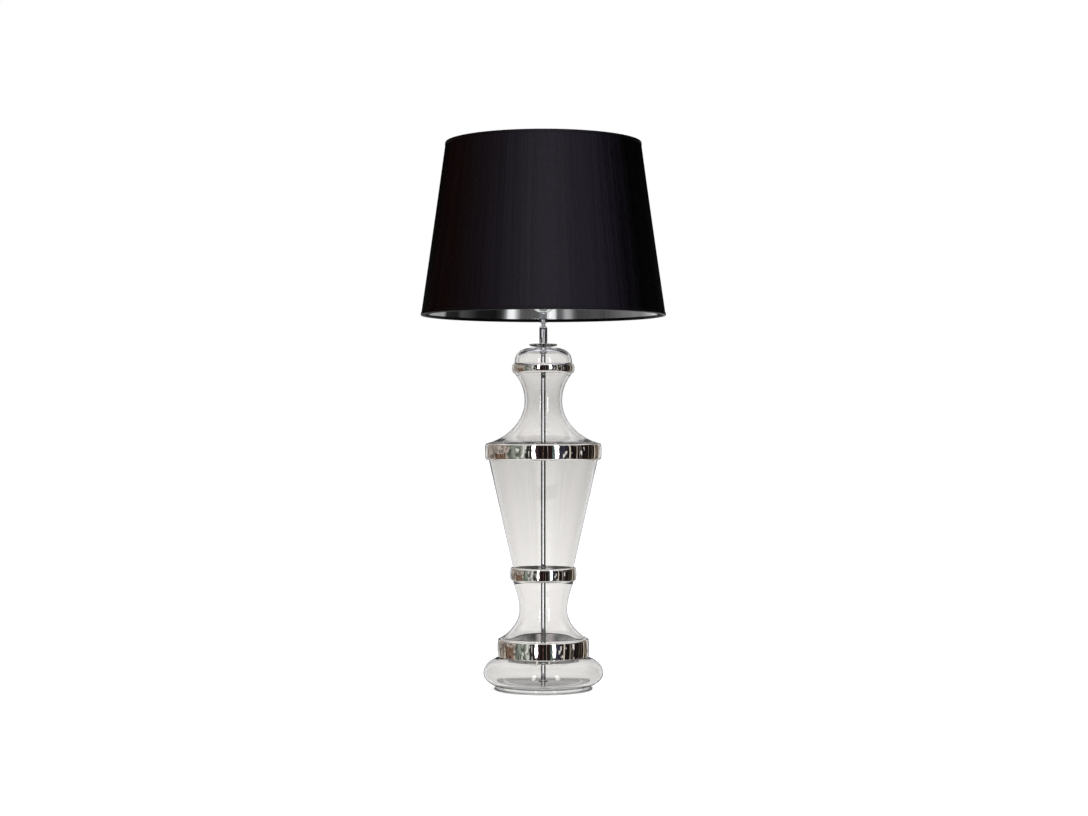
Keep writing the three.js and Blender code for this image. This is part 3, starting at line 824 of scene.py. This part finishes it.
# Above it, as the satin shade reflects it, and below it, as the lining does.
ABOVE = [
    (-150, (0.0, 0.0, 0.0)),
    (-120, (0.03, 0.008, 0.004)),
    (-90, (0.10, 0.050, 0.035)),
    (-60, (0.20, 0.15, 0.18)),
    (-30, (0.54, 0.51, 0.60)),
    (-6, (0.84, 0.81, 0.92)),
    (4, (1.25, 1.20, 1.34)),
    (13, (1.25, 1.20, 1.34)),
    (20, (0.60, 0.57, 0.68)),
    (38, (0.46, 0.44, 0.53)),
    (56, (0.62, 0.57, 0.78)),
    (66, (0.50, 0.46, 0.66)),
    (74, (0.12, 0.10, 0.16)),
    (88, (0.0, 0.0, 0.0)),
]
BELOW = greys({
    -180: 0.02, -155: 0.70, -135: 0.75, -122: 0.45, -112: 0.27, -98: 0.25, -76: 0.14, -64: 0.08,
    -52: 0.10, -35: 0.07, -30: 0.16, -27: 0.50, -22: 0.50, -18: 0.14, -14: 0.14, -11: 1.30,
    -5: 1.30, -1: 0.15, 18: 0.11, 23: 0.16, 27: 0.60, 30: 1.20, 35: 1.20, 38: 0.25, 42: 0.04,
    49: 0.01, 68: 0.015, 88: 0.09, 94: 0.015, 110: 0.03, 114: 0.45, 150: 0.48,
})
# The stem's own view out through the glass.
INSIDE = [
    (-180, (0.53, 0.53, 0.53)),
    (-158, (0.53, 0.53, 0.53)),
    (-148, (0.03, 0.03, 0.03)),
    (-56, (0.01, 0.01, 0.01)),
    (-40, (0.20, 0.22, 0.22)),
    (-25, (1.0, 1.0, 1.0)),
    (14, (1.0, 1.0, 1.0)),
    (24, (0.01, 0.01, 0.01)),
    (82, (0.01, 0.01, 0.01)),
    (98, (0.16, 0.17, 0.17)),
    (148, (0.15, 0.15, 0.15)),
    (158, (0.53, 0.53, 0.53)),
]
ABOVE_STRENGTH = 3.1
INSIDE_STRENGTH = 1.6
STRIP_STRENGTH = 9.0
STRIPS = {-18.5: 3.0, 27.0: 3.5}
CEILING = (0.50, 0.70)
GROUND = (-0.60, -0.75)
SHADE_SEES = (0.10, 0.16)
LINING_SEES = (-0.02, -0.03)
BACKDROP = (1.0, 1.0, 1.0)
THROUGH_GLASS = (0.93, 0.918, 0.904)
COVE = (0.85, 0.85, 0.85)


def studio_world():
    """White to the eye. A path that has met gloss sees the studio: strip lights, dark corners, cove."""
    n = Nodes("studio", bpy.data.worlds.new("studio"))

    def around(turn, stops, strength=1.0):
        parts = [((d + 180) / 360, tuple(c * strength for c in colour)) for d, colour in stops]
        return n.ramp(n.sharpen(turn, -math.pi, math.pi), parts)

    x, y, z = n.split(n.add("TexCoord").outputs["Generated"])
    turn = n.math("ARCTAN2", x, n.math("MULTIPLY", y, -1.0))
    lie = n.math("ARCSINE", z, 0.0)
    place = n.add("CombineXYZ", {"X": turn, "Y": lie}).outputs[0]
    path = n.add("LightPath").outputs
    singular = path["Is Singular Ray"]

    # Sharp reflections: upright edges that wander a little, and shelves of lighter and darker things.
    turn_sharp = n.math("ADD", turn, n.between(n.noise(place, 9, 2), -0.035, 0.035))
    goods = n.add("TexVoronoi", {"Vector": place, "Scale": 15.0}, distance="CHEBYCHEV")
    kind = n.split(goods.outputs["Color"])["X"]
    room = around(turn_sharp, ROUND)
    high = n.math("MULTIPLY", n.sharpen(lie, -0.055, -0.045), n.near(turn_sharp, -92, 22))
    room = n.colours(high, room, (0.52, 0.46, 0.41))
    room = n.colours(n.sharpen(kind, 0.1, 0.8, 0.0, 0.75), room, (0.02, 0.015, 0.015))
    upright = n.add("CombineXYZ", {"X": turn}).outputs[0]
    stripes = n.add("TexVoronoi", {"Vector": upright, "Scale": 22.0})
    tone = n.split(stripes.outputs["Color"])["X"]
    narrow = n.math("MAXIMUM", n.near(turn, 84, 40), n.near(turn, 3, 13))
    pale = n.math("MULTIPLY", narrow, n.sharpen(tone, 0.84, 0.90))
    black = n.math("MULTIPLY", narrow, n.sharpen(tone, 0.60, 0.50))
    room = n.colours(black, room, (0.01, 0.008, 0.008))
    room = n.colours(pale, room, (0.62, 0.56, 0.50))
    bits = n.math("MULTIPLY", n.math("GREATER_THAN", kind, 0.86), n.near(turn, 62, 26))
    arcs = n.math("MULTIPLY", n.math("GREATER_THAN", kind, 0.76), n.near(turn, -42, 14))
    room = n.colours(n.math("MAXIMUM", bits, arcs), room, (0.72, 0.72, 0.70))
    strips = [n.near(turn_sharp, middle, reach) for middle, reach in STRIPS.items()]
    lit = n.math("MULTIPLY", n.math("MAXIMUM", *strips), n.sharpen(lie, -0.24, -0.12))
    room = n.colours(lit, room, (STRIP_STRENGTH,) * 3)
    walls = path["Transmission Depth"]
    room = n.colours(n.math("GREATER_THAN", walls, 0.5), room, COVE)
    inside = around(turn, INSIDE, INSIDE_STRENGTH)
    room = n.colours(n.math("GREATER_THAN", walls, 3.5), room, inside)
    room = n.colours(n.sharpen(lie, *CEILING), room, COVE)
    room = n.colours(n.sharpen(lie, *GROUND), room, COVE)

    # Blurred reflections.
    above = around(turn, ABOVE, ABOVE_STRENGTH)
    soft = n.colours(n.sharpen(lie, *SHADE_SEES), around(turn, SOFT), above)
    soft = n.colours(n.sharpen(lie, 0.45, 0.60), soft, (0.70, 0.70, 0.70))
    soft = n.colours(n.sharpen(lie, *LINING_SEES), soft, around(turn, BELOW))
    soft = n.colours(n.sharpen(lie, -0.60, -0.80), soft, COVE)
    studio = n.colours(singular, soft, room)
    seen = n.colours(path["Is Transmission Ray"], BACKDROP, THROUGH_GLASS)
    n.set(Color=n.colours(n.math("GREATER_THAN", path["Glossy Depth"], 0.5), seen, studio))
    bpy.context.scene.world = n.material


FLOOR_RADIUS = 40
FLOOR_DROP = 0.2 * MM


def floor():
    """A pale floor that fades into the white cove. Gloss and glass see the studio's own white. Its glow
    is painted light, a little stronger near the lamp, where it washes out the lamp's shadow.
    """
    n = Nodes("floor")
    where = n.add("TexCoord").outputs["Object"]
    far = n.add("VectorMath", {0: where}, operation="LENGTH").outputs["Value"]
    grain = n.noise(where, 120, 4)
    n.set(
        Base_Color=n.colours(grain, (0.93, 0.93, 0.93), (0.96, 0.96, 0.96)),
        Roughness=0.55,
        Specular_IOR_Level=0.2,
        # Painted light: the floor glows, more strongly near the lamp, to wash out the lamp's shadow.
        Emission_Color=(1, 1, 1, 1),
        Emission_Strength=n.sharpen(far, 0.1, 1.6, 0.50, 0.40),
    )
    bm = bmesh.new()
    bmesh.ops.create_circle(bm, cap_ends=True, segments=96, radius=FLOOR_RADIUS)
    mesh = bpy.data.meshes.new("floor")
    bm.to_mesh(mesh)
    bm.free()
    mesh.materials.append(n.material)
    ground = bpy.data.objects.new("floor", mesh)
    bpy.context.collection.objects.link(ground)
    ground.location.z = -FLOOR_DROP
    ground.visible_glossy = False
    ground.visible_transmission = False


LIT_HEIGHT = 0.6


def area_light(name, place, size, power):
    """A light that is seen only by what it lights, aimed at the middle of the lamp."""
    data = bpy.data.lights.new(name, "AREA")
    data.shape = "RECTANGLE"
    data.size, data.size_y = size
    data.energy = power
    lamp = bpy.data.objects.new(name, data)
    lamp.location = place
    way = Vector((0, 0, LIT_HEIGHT)) - Vector(place)
    lamp.rotation_euler = way.to_track_quat("-Z", "Y").to_euler()
    for ray in ("camera", "glossy", "transmission"):
        setattr(lamp, "visible_" + ray, False)
    bpy.context.collection.objects.link(lamp)


studio_world()
floor()
area_light("key", (2.0, -2.3, 2.2), (0.9, 1.6), 26)
area_light("top", (0.2, 0.4, 3.2), (2.2, 2.2), 30)
area_light("bounce", (0, -0.9, 0.1), (0.6, 0.3), 14)
bpy.context.scene.view_settings.view_transform = "Standard"
